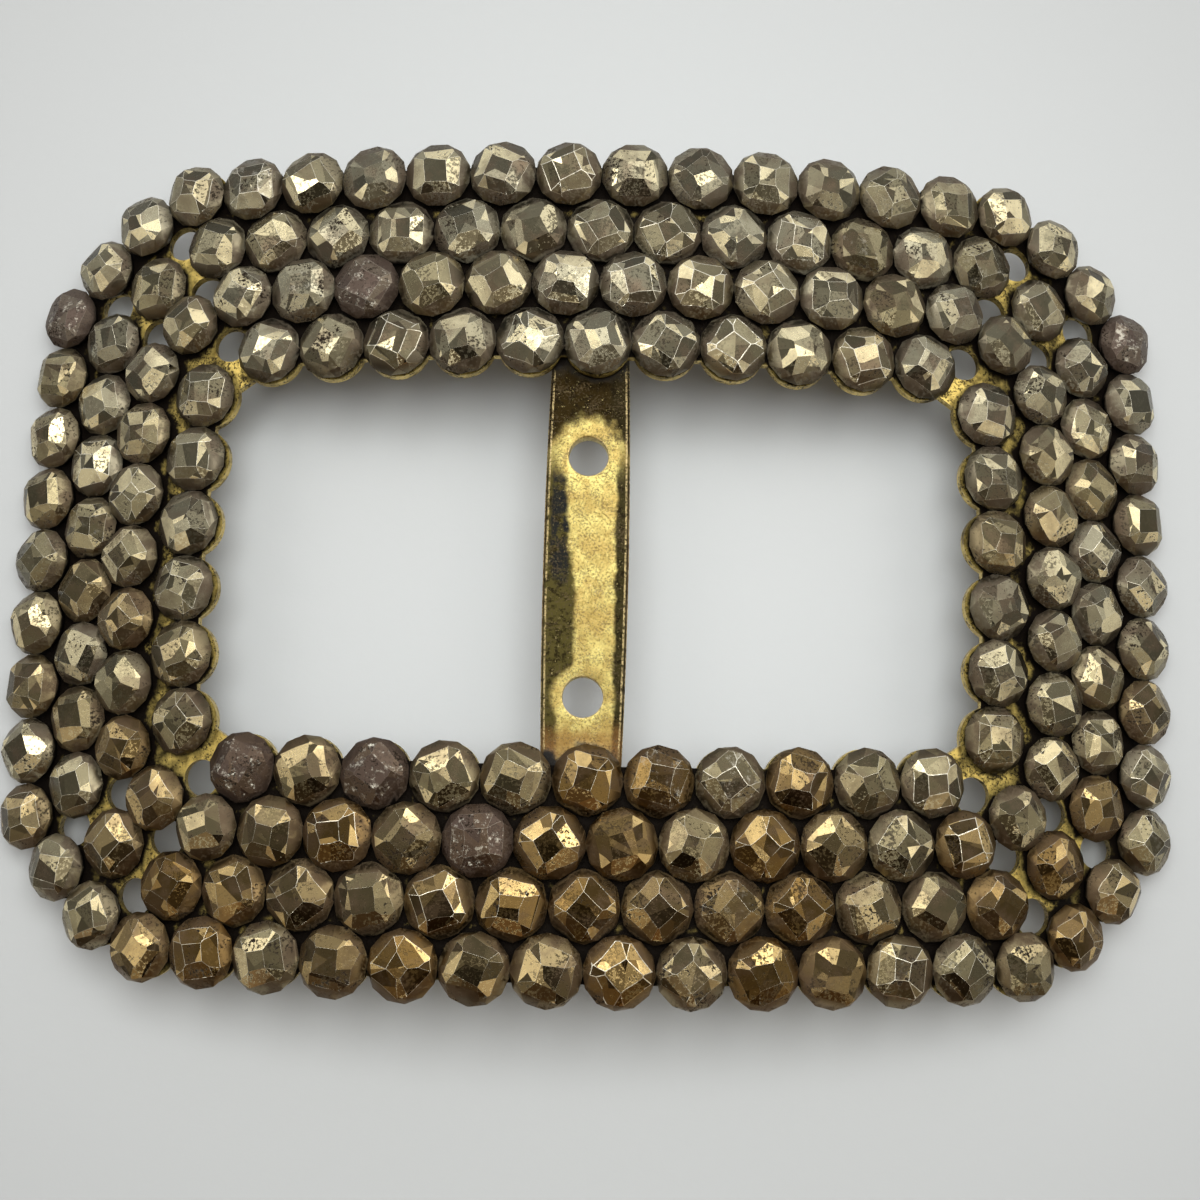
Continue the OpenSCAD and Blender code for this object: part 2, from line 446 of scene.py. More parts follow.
def age_hue_and_shade(node, number, place, chance):
    """How dull and brown a head is by chance, plus the painted near-side shade of its place."""
    age = RUSTY_AGE if (node, number) in rusty else OLDEST * float(chance.beta(*YOUNG_OR_OLD))
    # Nearer rows, above all in their middle, drift browner and darker: painted reflection of the dark
    # near side.
    near = min(1.0, max(0.0, 0.45 - place.translation.y / cad_high.y * 0.8))
    middle = 1 - 0.55 * abs(place.translation.x) / cad_high.x
    return age, HUE_BY_CHANCE * float(chance.random()) + NEAR_SHADE_IN_HUE * near * middle


def heads_piece(name, node, seed):
    """One piece that holds every head of a node, ground, rubbed and set back in its place."""
    chance = np.random.default_rng(seed)
    corners, faces, values = [], [], {key: [] for key in HEAD_VALUES}
    for number, (place, blank, sides) in enumerate(blanks[node]):
        age, hue_and_shade = age_hue_and_shade(node, number, place, chance)
        bm, level = grind(blank, sides, chance)
        rub_head(bm, RIDGE + RIDGE_OF_AGE * age, level)
        bm.verts.index_update()
        mark = bm.faces.layers.float["edge"]
        first = len(corners)
        corners += [place @ v.co for v in bm.verts]
        for face in bm.faces:
            faces.append([first + v.index for v in face.verts])
            # Tables draw lower chance values and come out darker: painted reflection of the dark camera
            # overhead.
            facet = chance.random() ** (PAINTED_TABLE_SHADE if face.normal.z > LEVEL_TILT else 1)
            numbers = face[mark], float(in_crown(face, level)), float(facet), hue_and_shade, age
            for key, one in zip(HEAD_VALUES, numbers):
                values[key].append(one)
        bm.free()
    return mesh_with_values(name, corners, faces, values)


inner_heads = heads_piece("cut_steel_inner", "inner_studs", seed=11)
outer_heads = heads_piece("cut_steel_outer", "outer_studs", seed=23)

# %% [markdown]
# ## The plate and the bar
#
# Both are stamped from sheet, so only the cut edges need work. The stored mesh is split at its
# sharp edges for shading, and joining those corners again gives a closed body that the bevel
# tool can round. A grid of cuts then gives the large faces corners of their own, at which grime
# can be measured. The corners on the two bent faces are set on the true cylinder, which smooths
# the bend.

# %% Build the plate and the bar
GRID = 0.75 * MM
SHEET_EDGE = 0.07 * MM
NEAR_THE_BEND = 0.03 * MM
SEAM = 0.0005 * MM
ON_A_CUT = 1e-7
IN_ONE_FACE, SHARP = math.radians(0.3), math.radians(38)


def cut_grid(bm):
    """Cuts a mesh along X and Y, so that no face is larger than a cell of the grid."""
    for axis in (0, 1):
        spots = [v.co[axis] for v in bm.verts]
        for at in np.arange(min(spots) + GRID / 2, max(spots), GRID):
            point, normal = Vector((0, 0, 0)), Vector((0, 0, 0))
            point[axis], normal[axis] = at, 1
            bmesh.ops.bisect_plane(
                bm, geom=bm.verts[:] + bm.edges[:] + bm.faces[:], dist=ON_A_CUT,
                plane_co=point, plane_no=normal)


def set_on_bend(bm):
    """Moves corners that lie almost on the bent faces of the sheet onto them."""
    for corner in bm.verts:
        reach = math.hypot(corner.co.x, corner.co.z - bend_axis_z)
        for radius in (BEND_R, BEND_R - SHEET):
            if abs(reach - radius) < NEAR_THE_BEND:
                corner.co.x *= radius / reach
                corner.co.z = bend_axis_z + (corner.co.z - bend_axis_z) * radius / reach


def sheet_piece(name, node, sharper_than, bent):
    """A copy of a node's own solid with rounded edges, marked for wear, and a grid of corners."""
    bm = bmesh.new()
    bm.from_mesh(frame["nodes"][node].data)
    bmesh.ops.remove_doubles(bm, verts=bm.verts[:], dist=SEAM)
    bmesh.ops.dissolve_limit(bm, angle_limit=IN_ONE_FACE, verts=bm.verts[:], edges=bm.edges[:])
    rub_edges(bm, SHEET_EDGE, sharper_than)
    cut_grid(bm)
    if bent:
        set_on_bend(bm)
    mesh = bpy.data.meshes.new(name)
    bm.to_mesh(mesh)
    bm.free()
    mesh.shade_smooth()
    mesh.set_sharp_from_angle(angle=SHARP)
    return link_piece(name, mesh)


plate = sheet_piece("gilt_plate", "back_plate", sharper_than=50, bent=True)
bar = sheet_piece("gilt_bar", "crossbar", sharper_than=25, bent=False)

# %% [markdown]
# ## The ends of the shanks
#
# Each head has a shank that goes through the plate, and its end was hammered flat on the back.
# The photograph can't show them, but such heads are held in no other way. A low dome, a little
# out of round, stands for each. Where a shank also goes through the bar, its end lies on the
# back of the bar.

# %% Build one shank end
END_R, END_HIGH, END_SIDES = 0.75, 0.28, 14
END_PROFILE = [(1.0, 0.0), (0.95, 0.35), (0.72, 0.8), (0.38, 1.0)]
END_TOP = 0.97


def end_faces():
    """The faces of one end: its foot, rows round its sides and a fan over its top."""
    rows = range(len(END_PROFILE) - 1)
    faces = [list(range(END_SIDES))]
    faces += [[r * END_SIDES + k, (r + 1) * END_SIDES + k,
               (r + 1) * END_SIDES + (k + 1) % END_SIDES, r * END_SIDES + (k + 1) % END_SIDES]
              for r in rows for k in range(END_SIDES)]
    last = len(rows) * END_SIDES
    tip = last + END_SIDES
    return faces + [[last + k, tip, last + (k + 1) % END_SIDES] for k in range(END_SIDES)]


def end_corners(chance):
    """The corners of one hammered end, under the origin of a head's frame."""
    wide, tall = END_R * chance.uniform(0.85, 1.15), END_HIGH * chance.uniform(0.8, 1.1)
    squash, turn = chance.uniform(0.88, 1.0), chance.uniform(0, math.tau)
    under = -SHEET / MM
    corners = []
    for share, high in END_PROFILE:
        for k in range(END_SIDES):
            a = math.tau * k / END_SIDES
            x, y = wide * share * math.cos(a), wide * share * squash * math.sin(a)
            corners.append(Vector((
                x * math.cos(turn) - y * math.sin(turn),
                x * math.sin(turn) + y * math.cos(turn), under - tall * high)))
    return corners + [Vector((0, 0, under - tall * END_TOP))]


print("a shank end has", len(end_faces()), "faces")

# %% Set all shank ends
bar_low, bar_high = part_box("crossbar")


def under_bar(place):
    """True if a head's shank also goes through the bar."""
    x, y = place.translation.xy
    room = END_R * MM
    return bar_low.x + room < x < bar_high.x - room and bar_low.y < y < bar_high.y


def shank_ends():
    """All hammered ends as one piece."""
    chance = np.random.default_rng(5)
    sides = end_faces()
    corners, faces, hues, ages = [], [], [], []
    for node in blanks:
        for place, _, _ in blanks[node]:
            points = end_corners(chance)
            first = len(corners)
            if under_bar(place):
                drop = bar_low.z - place.translation.z + SHEET
                place = Matrix.Translation((0, 0, drop)) @ place
            corners += [place @ p for p in points]
            faces += [[first + n for n in face] for face in sides]
            hues += [float(chance.random())] * len(sides)
            ages += [float(chance.uniform(0.2, 0.7))] * len(sides)
    plain = [0.0] * len(faces)
    values = {"edge": plain, "crown": plain, "facet": plain, "hue_and_shade": hues, "age": ages}
    piece = mesh_with_values("shank_ends", corners, faces, values)
    piece.data.shade_smooth()
    return piece


ends = shank_ends()

# %% [markdown]
# ## Where grime and painted shade lie
#
# Nobody could ever wipe between these heads and little light gets down there, so everything
# deep between them is painted black, grime and shade in one, while what a finger reaches is
# bright. How far a place is within reach can be measured: from each corner of the mesh, short
# rays go out to all sides, and the share that meets nothing is stored in a corner attribute
# named reach.

# %% Measure the reach
RAYS = 18
REACH = 3.0 * MM
GOLDEN_TURN = 2.39996
OFF_THE_SKIN = 0.02
SHORTEST = 1e-9
pieces_in_reach = (inner_heads, outer_heads, plate, bar)


def tree_of(pieces):
    """A search tree over the faces of several pieces."""
    corners, faces = [], []
    for piece in pieces:
        first = len(corners)
        corners += [v.co.copy() for v in piece.data.vertices]
        faces += [[first + n for n in p.vertices] for p in piece.data.polygons]
    return BVHTree.FromPolygons(corners, faces)


def ray_fan(normals, chance):
    """For each normal, RAYS directions on its side, most of them near it."""
    share = (np.arange(RAYS) + 0.5) / RAYS
    spin = np.arange(RAYS) * GOLDEN_TURN + chance.uniform(0, 0.5, (len(normals), 1))
    side = np.where(np.abs(normals[:, :1]) < 0.8, [[1.0, 0, 0]], [[0, 1.0, 0]])
    across = np.cross(normals, side)
    across /= np.linalg.norm(across, axis=1, keepdims=True)
    along = np.cross(normals, across)
    flat, up = np.sqrt(share), np.sqrt(1 - share)
    return (normals[:, None] * up[:, None]
            + across[:, None] * (flat * np.cos(spin))[..., None]
            + along[:, None] * (flat * np.sin(spin))[..., None])


def measure_reach(piece, tree, seed):
    """Stores the share of free rays at each corner of a piece."""
    mesh = piece.data
    spots, normals = (np.empty(len(mesh.vertices) * 3) for _ in range(2))
    mesh.vertices.foreach_get("co", spots)
    mesh.vertices.foreach_get("normal", normals)
    spots, normals = spots.reshape(-1, 3), normals.reshape(-1, 3)
    normals /= np.maximum(np.linalg.norm(normals, axis=1, keepdims=True), SHORTEST)
    fans = ray_fan(normals, np.random.default_rng(seed)).tolist()
    starts = (spots + normals * OFF_THE_SKIN * MM).tolist()
    free = [sum(tree.ray_cast(start, way, REACH)[0] is None for way in fan) / RAYS
            for start, fan in zip(starts, fans)]
    mesh.attributes.new("reach", "FLOAT", "POINT").data.foreach_set("value", free)
    print(piece.name, "is within reach by", round(float(np.mean(free)), 2))


reach_tree = tree_of(pieces_in_reach)
for seed, piece in enumerate((*pieces_in_reach, ends)):
    measure_reach(piece, reach_tree, seed)

# %% [markdown]
# ## Small tools for materials
#
# A material in nodes is a chain of small sums, and helpers keep the chains short to write. A
# socket knows which node tree it belongs to, so most helpers need only what they work on.

# %% Nodes and sums
def fill(node, inputs):
    """Joins or fills a node's inputs, which are given by name or number."""
    for key, value in inputs.items():
        if isinstance(value, bpy.types.NodeSocket):
            node.id_data.links.new(value, node.inputs[key])
        else:
            node.inputs[key].default_value = value


def add(tree, kind, inputs=(), **settings):
    """A new shader node with its settings and inputs."""
    node = tree.nodes.new("ShaderNode" + kind)
    for key, value in settings.items():
        setattr(node, key, value)
    fill(node, dict(inputs))
    return node


def feed(kind, inputs, **settings):
    """A new shader node in the tree of the first socket that feeds it."""
    sockets = [value for value in inputs.values() if isinstance(value, bpy.types.NodeSocket)]
    return add(sockets[0].id_data, kind, inputs, **settings)


def sums(operation, a, b=0.0, clamp=False):
    """One sum, such as MULTIPLY, of two values or sockets."""
    return feed("Math", {0: a, 1: b}, operation=operation, use_clamp=clamp).outputs[0]


def plus(a, b):
    return sums("ADD", a, b)


def minus(a, b):
    return sums("SUBTRACT", a, b)


def times(*values):
    """The product of several values or sockets."""
    product = values[0]
    for value in values[1:]:
        product = sums("MULTIPLY", product, value)
    return product


def blend(factor, under, over, mode="MIX"):
    """Two colours mixed by a factor."""
    inputs = {0: factor, 6: under, 7: over}
    return feed("Mix", inputs, data_type="RGBA", blend_type=mode).outputs[2]


# %% [markdown]
# ## Ranges, noise and places
#
# Most masks come from a number that crosses a limit, such as noise or a distance from a hole.
# These helpers stretch a range, pick out a band, make noise and read what the mesh has stored.

# %% Masks from numbers
def spread(value, low, high, to_low=0.0, to_high=1.0):
    """A value taken smoothly from one range to another."""
    inputs = {"Value": value, 1: low, 2: high, 3: to_low, 4: to_high}
    return feed("MapRange", inputs, interpolation_type="SMOOTHSTEP").outputs[0]


def band(value, centre, half, soft):
    """1 where a value is within half of a centre, falling off over soft."""
    off = sums("ABSOLUTE", minus(value, centre))
    return spread(off, half + soft, half)


def noise(coordinates, scale, detail=3.0, roughness=0.55):
    """Soft chance values from 0 to 1."""
    inputs = {"Vector": coordinates, "Scale": scale, "Detail": detail, "Roughness": roughness}
    return feed("TexNoise", inputs).outputs["Fac"]


def stored(place, name):
    """An attribute of the mesh, by its name, in the tree that place belongs to."""
    return add(place.id_data, "Attribute", attribute_name=name).outputs["Fac"]


def millimetres(tree):
    """Object coordinates in millimetres, so that a scale of 1 is one spot a millimetre."""
    place = add(tree, "TexCoord").outputs["Object"]
    return feed("VectorMath", {0: place, "Scale": 1 / MM}, operation="SCALE").outputs[0]


# %% [markdown]
# ## Groups and layers
#
# What several materials share goes into a node group, which works like a function. The metals
# are also built up alike: coats of colour, each with its mask, dirt and painted shade that take
# the mirror away, and small lumps that bend the light.

# %% Groups and layers
LUMP_STRENGTH = 0.5


def new_group(name, inputs, outputs):
    """A group of number sockets, after one for the coordinates."""
    tree = bpy.data.node_groups.new(name, "ShaderNodeTree")
    tree.interface.new_socket("Coordinates", in_out="INPUT", socket_type="NodeSocketVector")
    for label, value in inputs.items():
        socket = tree.interface.new_socket(label, in_out="INPUT", socket_type="NodeSocketFloat")
        socket.default_value = value
    for label in outputs:
        tree.interface.new_socket(label, in_out="OUTPUT", socket_type="NodeSocketFloat")
    return tree, tree.nodes.new("NodeGroupInput").outputs, tree.nodes.new("NodeGroupOutput")


def new_material(name):
    """A material, its shader, and places in millimetres in its tree."""
    made = bpy.data.materials.new(name)
    made.use_nodes = True
    return made, made.node_tree.nodes["Principled BSDF"], millimetres(made.node_tree)


def coats(tint, layers):
    """A tint under layers, each with its mask, the share of it to show, and its colour."""
    for mask, share, colour in layers:
        tint = blend(times(mask, share), tint, colour)
    return tint


def piled_up(base, shares):
    """A number with shares of several masks added to it."""
    for mask, share in shares:
        base = plus(base, times(mask, share))
    return base


def finish_metal(shader, tint, haze, dirt_and_shade, lumps, depth=0.03, shine=0.06):
    """Gives a shader colour, haze, soiling with painted shade, and lumps of a depth in millimetres."""
    bump = feed("Bump", {"Height": lumps, "Strength": LUMP_STRENGTH, "Distance": depth * MM})
    fill(shader, {"Base Color": tint, "Roughness": haze, "Metallic": minus(1.0, dirt_and_shade),
                  "Normal": bump.outputs[0], "Specular IOR Level": shine})


# %% [markdown]
# ## Pits and stains
#
# Old metal is not evenly dull. Damp has eaten tiny pits into some patches and left others
# bright, and brown stains drift over both. Fine noise cut off sharply gives the pits, and broad
# noise says where they lie.

# %% The group for old metal
def old_metal_group():
    """A node group that says where pits and stains lie, and how high the surface is."""
    tree, given, out = new_group(
        "old metal",
        {"Pit Scale": 9.0, "Pit Amount": 0.5, "Stain Scale": 0.6, "Stain Amount": 0.5},
        ("Pits", "Stains", "Height"))
    place = given["Coordinates"]
    fine = noise(place, given["Pit Scale"], detail=4.0, roughness=0.7)
    patches = noise(place, times(given["Pit Scale"], 0.13), detail=2.0)
    cut = minus(0.75, times(patches, 0.40))
    deep = spread(minus(fine, cut), -0.02, 0.06)
    pits = sums("MULTIPLY", deep, given["Pit Amount"], clamp=True)
    drift = noise(place, given["Stain Scale"], detail=5.0, roughness=0.65)
    stains = sums("MULTIPLY", spread(drift, 0.42, 0.68), given["Stain Amount"], clamp=True)
    height = minus(times(fine, 0.25), pits)
    fill(out, {"Pits": pits, "Stains": stains, "Height": height})
    return tree


old_metal = old_metal_group()
print("old metal group:", len(old_metal.nodes), "nodes")

# %% [markdown]
# ## Wear, grime and painted shade as masks
#
# The bevelled faces are exact, but a real ridge is not rubbed evenly along its length. Noise
# eats gaps into the line. Grime and painted shade start where the reach falls below a limit,
# and noise frays their border.

# %% The group for wear, grime and painted shade
# Near black: grime together with painted shade, deep between the parts.
GRIME_AND_SHADE = (0.004, 0.0028, 0.002, 1)


def wear_and_shade_group():
    """Says where an edge is rubbed bright, and where deep places get soil and painted shade."""
    tree, given, out = new_group(
        "wear and grime",
        {"Edge": 0.0, "Gaps": 0.4, "Reach": 1.0, "Clear": 0.6, "Black": 0.2},
        ("Rub", "Grime And Shade"))
    broken = noise(given["Coordinates"], 1.6, detail=2.0)
    kept = spread(minus(broken, given["Gaps"]), -0.1, 0.12)
    frayed = noise(given["Coordinates"], 2.2, detail=4.0, roughness=0.7)
    shift = times(minus(frayed, 0.5), 0.35)
    reach = plus(given["Reach"], shift)
    grime_and_shade = spread(reach, given["Clear"], given["Black"])
    fill(out, {"Rub": times(given["Edge"], kept, minus(1.0, grime_and_shade)), "Grime And Shade": grime_and_shade})
    return tree


# Besides the rubbed ridges, this group paints grime and shade black deep between the parts.
wear = wear_and_shade_group()
print("wear and grime group:", len(wear.nodes), "nodes")


def old_worn_and_shaded(place, old_values, wear_and_shade_values):
    """The outputs of both groups placed in a material, each with its own values."""
    reached = {"Edge": stored(place, "edge"), "Reach": stored(place, "reach")}
    old = feed("Group", {"Coordinates": place, **old_values}, node_tree=old_metal)
    worn = feed("Group", {"Coordinates": place, **reached, **wear_and_shade_values}, node_tree=wear)
    return old.outputs, worn.outputs


# %% [markdown]
# ## Polished steel
#
# The steel has yellowed to colours between olive grey, bronze and brown, one tint to a head.
# On the nearest rows the brown is a painted reflection of the dark near side.
# Each facet is a little darker or paler than the next, and a few have kept their first polish
# and are much paler. The chance value stored for a facet decides both. Tables draw lower values,
# which paints them darker: painted reflection of the dark camera overhead.

# %% The tint of polished steel
STEEL_OLIVE, STEEL_BRONZE = (0.355, 0.327, 0.228, 1), (0.355, 0.305, 0.175, 1)
# On heads this brown comes only from the drift towards the near rows, a painted reflection; shank ends
# get it by chance.
STEEL_BROWN_AND_NEAR_SHADE = (0.235, 0.145, 0.046, 1)
FIRST_POLISH, FIRST_POLISH_WARM = (0.88, 0.77, 0.48, 1), (0.70, 0.50, 0.21, 1)


def polished_tint(facet, hue_and_shade, age, crown):
    """The colour of clean facets, before stains and rust."""
    tint = blend(spread(hue_and_shade, 0.1, 0.5), STEEL_OLIVE, STEEL_BRONZE)
    tint = blend(spread(hue_and_shade, 0.45, 0.85), tint, STEEL_BROWN_AND_NEAR_SHADE)
    shade = spread(facet, 0.0, 0.85, 0.20, 1.18)
    grey = feed("CombineColor", {0: shade, 1: shade, 2: shade}).outputs[0]
    tint = blend(1.0, tint, grey, "MULTIPLY")
    kept = times(spread(facet, 0.69, 0.77), spread(age, 0.6, 0.3), crown)
    pale = blend(spread(hue_and_shade, 0.3, 0.8), FIRST_POLISH, FIRST_POLISH_WARM)
    return blend(times(kept, 0.92), tint, pale)


# %% [markdown]
# ## Old steel
#
# Below the shoulder the metal was never polished and is dull and grey-brown. Stains and pits
# lie over both, and rusty heads are brown all over.

# %% The layers of age
DULL_GREY, DULL_BROWN = (0.195, 0.165, 0.120, 1), (0.165, 0.108, 0.052, 1)
STAINED_STEEL, RUSTY_STEEL = (0.13, 0.088, 0.058, 1), (0.115, 0.083, 0.070, 1)
STEEL_PIT = (0.012, 0.008, 0.005, 1)


def aged_tint(tint, hue_and_shade, dull, stains, rust, pits):
    """A tint under dull metal, stains, rust and pits."""
    # Through the hue, the painted near-side reflection also browns the dull sides.
    brown = blend(spread(hue_and_shade, 0.2, 0.8), DULL_GREY, DULL_BROWN)
    return coats(tint, (
        (dull, 1, brown), (stains, 0.6, STAINED_STEEL), (rust, 0.8, RUSTY_STEEL), (pits, 1, STEEL_PIT)))


# %% [markdown]
# ## The steel material
#
# Each facet has its own haze and its own share of pits. Further chance values for them are made
# from the stored one: it is taken some times over and only what comes after the point is kept.
# Over the tints lie the rubbed ridges, a few bright flakes on old heads, and grime with painted
# shade.

# %% Put the steel together
BRIGHT_STEEL = (0.96, 0.91, 0.76, 1)
STEEL_HAZE, HAZE_OF_FACET = 0.12, 0.16


def another_chance(facet, turns):
    """One more chance value for a facet, made from its own."""
    return sums("FRACT", times(facet, turns))


def steel_material():
    """Old cut steel, led by the values that every facet carries."""
    made, shader, place = new_material("old cut steel")
    crown, facet, hue_and_shade, age = (stored(place, key) for key in ("crown", "facet", "hue_and_shade", "age"))
    pitted = spread(another_chance(facet, 5.0), 0.35, 0.8, 0.25, 0.95)
    pit_amount = sums("MULTIPLY", pitted, plus(0.8, age), clamp=True)
    metal, worn = old_worn_and_shaded(
        place, {"Pit Scale": 5.5, "Pit Amount": pit_amount, "Stain Scale": 0.55, "Stain Amount": 0.8},
        {"Gaps": 0.36, "Clear": 0.50, "Black": 0.15})
    pits, stains, rub, grime_and_shade = metal["Pits"], metal["Stains"], worn["Rub"], worn["Grime And Shade"]
    dull = times(minus(1.0, crown), spread(stains, 0.0, 0.6, 0.5, 0.9))
    rust = spread(age, 0.62, 0.95)
    tint = aged_tint(polished_tint(facet, hue_and_shade, age, crown), hue_and_shade, dull, stains, rust, pits)
    flakes = times(spread(noise(place, 1.7, 5.0, 0.8), 0.54, 0.64),
                   spread(age, 0.35, 0.9), crown)
    bright = times(rub, spread(rust, 0.0, 1.0, 0.8, 0.25))
    bright = sums("MAXIMUM", bright, times(flakes, 0.42))
    # The last coat is grime and painted shade, black deep between the heads.
    tint = coats(tint, ((bright, 1, BRIGHT_STEEL), (grime_and_shade, 1, GRIME_AND_SHADE)))
    haze = piled_up(STEEL_HAZE, (
        (another_chance(facet, 7.0), HAZE_OF_FACET), (stains, 0.12), (pits, 0.3),
        (rust, 0.2), (rub, 0.08), (grime_and_shade, 0.4), (dull, 0.36)))
    ripple = times(noise(place, 0.9, detail=1.0), 1.3)
    lumps = plus(ripple, metal["Height"])
    dirt_and_shade = sums("MAXIMUM", pits, grime_and_shade)
    finish_metal(shader, tint, haze, dirt_and_shade, lumps)
    return made


steel = steel_material()
for piece in (inner_heads, outer_heads, ends):
    piece.data.materials.append(steel)
print("steel:", len(steel.node_tree.nodes), "nodes")

# %% [markdown]
# ## The gilt plate
#
# The plate shows as narrow lips and webs between the heads: matt gold, with black grime and
# painted shade wherever the reach is small.

# %% The plate's material
PLATE_GOLD, PLATE_TARNISH = (0.62, 0.46, 0.13, 1), (0.10, 0.075, 0.024, 1)
PLATE_PIT, PLATE_RUBBED = (0.014, 0.009, 0.004, 1), (0.92, 0.75, 0.34, 1)
PLATE_HAZE = 0.34


def plate_material():
    """Matt gilding, soiled and painted dark with shade wherever a finger can't reach."""
    made, shader, place = new_material("matt gilt plate")
    metal, worn = old_worn_and_shaded(
        place, {"Pit Scale": 6.0, "Pit Amount": 0.95, "Stain Scale": 0.9, "Stain Amount": 0.9},
        {"Gaps": 0.35, "Clear": 0.68, "Black": 0.28})
    pits, stains, rub, grime_and_shade = metal["Pits"], metal["Stains"], worn["Rub"], worn["Grime And Shade"]
    # Its last coat paints grime and shade black where the reach is small.
    tint = coats(PLATE_GOLD, (
        (stains, 1, PLATE_TARNISH), (pits, 1, PLATE_PIT), (rub, 0.8, PLATE_RUBBED), (grime_and_shade, 1, GRIME_AND_SHADE)))
    haze = piled_up(PLATE_HAZE, ((stains, 0.25), (grime_and_shade, 0.3)))
    dirt_and_shade = sums("MAXIMUM", pits, grime_and_shade)
    finish_metal(shader, tint, haze, dirt_and_shade, metal["Height"])
    return made


gilt = plate_material()
plate.data.materials.append(gilt)
print("gilt plate:", len(gilt.node_tree.nodes), "nodes")

# %% [markdown]
# ## Where the bar is tarnished
#
# Belts rubbed the bar's middle and the ground round its two holes bright. Tarnish stayed along
# the left side, where it widens downwards, in a thin band along the right, and over the far
# end. Every mark is placed by its distance from the middle of the bar or from a hole. Noise is
# added to each distance, so that no border is straight.

# %% Places on the bar
bar_x = (bar_low.x + bar_high.x) / 2 / MM
holes = [[side / MM for side in mount["pos_m"]] for mount in frame["record"]["mounts"]
         if mount["kind"] == "bore"]
print("holes of the bar at", [[round(side, 2) for side in hole] for hole in holes], "mm")


def places_on_bar(place):
    """True distance from the bar's middle line, then ragged ones across, along and from a hole."""
    axes = feed("SeparateXYZ", {0: place}).outputs
    ragged = times(minus(noise(place, 0.9, 5.0, 0.65), 0.5), 2.2)
    off = minus(axes["X"], bar_x)
    across = plus(off, times(ragged, 0.35))
    along = plus(axes["Y"], ragged)
    reach = [feed("VectorMath", {0: place, 1: hole}, operation="DISTANCE").outputs["Value"]
             for hole in holes]
    from_hole = plus(sums("MINIMUM", *reach), times(ragged, 0.25))
    return off, across, along, from_hole


# %% Masks of the bar's tarnish

def tarnish_mask(across, along, from_hole, far_end):
    """1 where tarnish lies: along both sides and over the far end, but not round the holes."""
    limit = spread(along, 3.0, -3.0, -1.25, -0.62)
    limit = plus(limit, spread(along, -6.0, -9.0, 0.0, -0.9))
    left = spread(minus(across, limit), 0.25, -0.15)
    right = spread(across, 1.60, 1.88)
    length = spread(along, 6.6, 4.6, 0.45, 1.0)
    sides = times(sums("MAXIMUM", left, right), length)
    halo = spread(from_hole, 2.15, 1.65)
    return times(sums("MAXIMUM", sides, far_end), minus(1.0, halo))


# %% [markdown]
# ## The colours of the bar
#
# Rubbed gilding is grainy: lemon gold in broad patches, with fine brown and nearly white
# grains. The tarnish is olive, nearly black at the far end, mottled, and has one bluish patch on
# the left side.

# %% Gold and tarnish
BAR_GOLD, BAR_LEMON = (0.70, 0.52, 0.17, 1), (0.95, 0.81, 0.29, 1)
BROWN_GRAIN, PALE_GRAIN = (0.34, 0.24, 0.065, 1), (1.0, 0.90, 0.52, 1)
OLIVE_TARNISH, FAR_END_TARNISH = (0.105, 0.088, 0.027, 1), (0.036, 0.024, 0.008, 1)
RIGHT_TARNISH, MOTTLED_TARNISH = (0.030, 0.025, 0.012, 1), (0.016, 0.012, 0.006, 1)
BLUISH_TARNISH = (0.016, 0.019, 0.023, 1)


def rubbed_gold(place, grain):
    """Bright gilding with its grain."""
    broad = noise(place, 0.7, detail=3.0, roughness=0.6)
    gold = blend(spread(broad, 0.38, 0.62), BAR_GOLD, BAR_LEMON)
    gold = blend(spread(grain, 0.52, 0.34), gold, BROWN_GRAIN)
    return blend(spread(grain, 0.60, 0.72), gold, PALE_GRAIN)


def tarnish_tint(place, across, along, far_end, mottle):
    """The colour of the tarnish from place to place."""
    to_right = spread(across, 0.9, 1.6, 0.0, 0.7)
    patchy = spread(noise(place, 1.3, 4.0, 0.7), 0.36, 0.52)
    blue = times(band(along, 1.9, 3.0, 0.9), band(across, -1.60, 0.42, 0.25), patchy)
    return coats(OLIVE_TARNISH, (
        (far_end, 1, FAR_END_TARNISH), (to_right, 1, RIGHT_TARNISH),
        (mottle, 0.85, MOTTLED_TARNISH), (blue, 0.9, BLUISH_TARNISH)))


# %% [markdown]
# ## The gilt bar
#
# Tarnish lies over the gold, with specks of gold left in it. A reddish line runs down both
# bevels, and the near end is browner. The bare middle has the grain of worn gilding.

# %% The bar's material
BAR_STAIN, BAR_PIT = (0.42, 0.29, 0.08, 1), (0.07, 0.045, 0.015, 1)
BEVEL_LINE, NEAR_END = (0.16, 0.085, 0.040, 1), (0.36, 0.18, 0.06, 1)
BAR_RUBBED = (0.92, 0.72, 0.36, 1)
BAR_HAZE = 0.33


